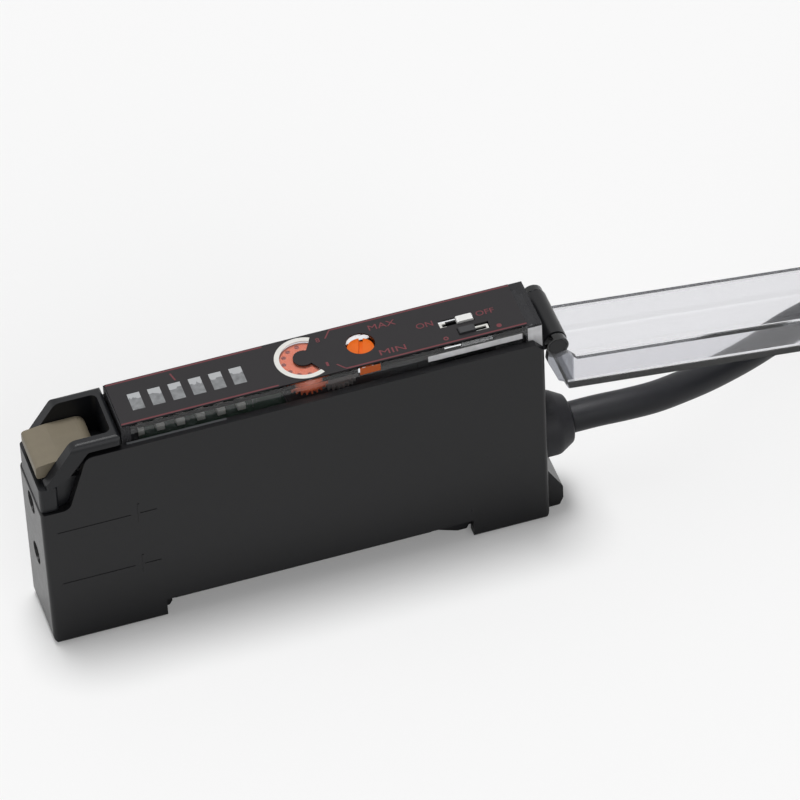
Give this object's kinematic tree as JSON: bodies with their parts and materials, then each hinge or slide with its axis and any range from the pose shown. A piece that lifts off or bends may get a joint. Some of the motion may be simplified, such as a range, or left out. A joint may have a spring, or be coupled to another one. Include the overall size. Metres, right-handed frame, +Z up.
{
  "type": "fibre_optic_sensor_amplifier",
  "caption": "Slim rail-mounted fibre optic sensor amplifier: fibre bores with a locking lever, level lamps, geared gain dial, slide switches, hinged clear cover and a coiled cable.",
  "frame": {"origin": "middle of the rail seat on the underside of the case", "axes": "X along the case from the fibre end to the cable end, Y across the case, Z up from the rail"},
  "size_m": [0.194, 0.0428, 0.0329],
  "materials": {
    "case_plastic": "fine moulded grain",
    "holder_plastic": "fine moulded grain",
    "lever_plastic": "satin",
    "steel": "spring steel",
    "red_resin": "tinted resin",
    "chip_resin": "moulded resin",
    "board_green": "solder mask",
    "clear_plastic": "clear moulded plastic",
    "label_film": "printed film",
    "white_plastic": "satin",
    "orange_plastic": "satin gloss",
    "dial_plastic": "satin gloss",
    "blue_plastic": "moulded",
    "knob_plastic": "moulded",
    "boot_rubber": "smooth rubber",
    "cable_sheath": "matt sheath",
    "tie_plastic": "moulded",
    "brown_sheath": "smooth insulation",
    "black_sheath": "smooth insulation",
    "blue_sheath": "smooth insulation",
    "lamp_white": "lamp resin"
  },
  "bodies": {
    "amplifier": {"case_body": "case_plastic", "case_cover": "case_plastic", "fibre_holder": "holder_plastic", "clamp_plate": "steel", "clamp_spring": "steel", "emitter_led": "red_resin", "receiver_diode": "chip_resin", "main_board": "board_green", "display_board": "board_green", "board_link": "chip_resin", "controller_chip": "chip_resin", "amplifier_chip": "chip_resin", "output_transistor": "chip_resin", "display_cover": "clear_plastic", "panel_label": "label_film", "gear_plate": "white_plastic", "gain_potentiometer": "blue_plastic", "timer_switch": "white_plastic", "mode_switch": "white_plastic", "cable_boot": "boot_rubber", "latch_spring": "steel", "cable_run": "cable_sheath", "cable_coil": "cable_sheath", "coil_tie": "tie_plastic", "lead_brown": "brown_sheath", "lead_black": "black_sheath", "lead_blue": "blue_sheath", "level_led_1": "lamp_white", "level_led_2": "lamp_white", "level_led_3": "lamp_white", "level_led_4": "lamp_white", "level_led_5": "lamp_white", "level_led_6": "lamp_white"},
    "lever": {"lock_lever": "lever_plastic"},
    "adjuster": {"gain_adjuster": "orange_plastic"},
    "idler": {"reduction_gear": "white_plastic"},
    "dial": {"indicator_dial": "dial_plastic"},
    "timer_slider": {"timer_knob": "knob_plastic"},
    "mode_slider": {"mode_knob": "knob_plastic"},
    "cover": {"protective_cover": "clear_plastic"},
    "latch": {"din_latch": "case_plastic"}
  },
  "joints": [
    {"name": "lever_hinge", "type": "hinge", "parent": "amplifier", "child": "lever", "pos_m": [-0.0247, 0, 0.0252], "axis": [0, 1, 0], "range_deg": [0, 75]},
    {"name": "adjuster_turn", "type": "hinge", "parent": "amplifier", "child": "adjuster", "pos_m": [0.0104, 0, 0.0267], "axis": [0, 0, 1], "range_deg": [-1440, 1440]},
    {"name": "idler_turn", "type": "hinge", "parent": "amplifier", "child": "idler", "pos_m": [0.0069, 0, 0.0267], "axis": [0, 0, 1], "range_deg": [-500, 500]},
    {"name": "dial_turn", "type": "hinge", "parent": "amplifier", "child": "dial", "pos_m": [0.0032, 0, 0.0267], "axis": [0, 0, 1], "range_deg": [-162, 162]},
    {"name": "timer_slide", "type": "slide", "parent": "amplifier", "child": "timer_slider", "axis": [-1, 0, 0], "range_m": [0, 0.0021]},
    {"name": "mode_slide", "type": "slide", "parent": "amplifier", "child": "mode_slider", "axis": [1, 0, 0], "range_m": [0, 0.0017]},
    {"name": "cover_hinge", "type": "hinge", "parent": "amplifier", "child": "cover", "pos_m": [0.0338, 0, 0.0261], "axis": [0, -1, 0], "range_deg": [0, 187]},
    {"name": "latch_slide", "type": "slide", "parent": "amplifier", "child": "latch", "axis": [1, 0, 0], "range_m": [0, 0.002], "stiffness_N_per_m": 800, "springref_m": -0.002, "deforming": ["latch_spring"]}
  ],
  "couplings": [
    {"joint": "idler_turn", "follows": "adjuster_turn", "ratio": -0.34615},
    {"joint": "dial_turn", "follows": "adjuster_turn", "ratio": 0.11126}
  ]
}
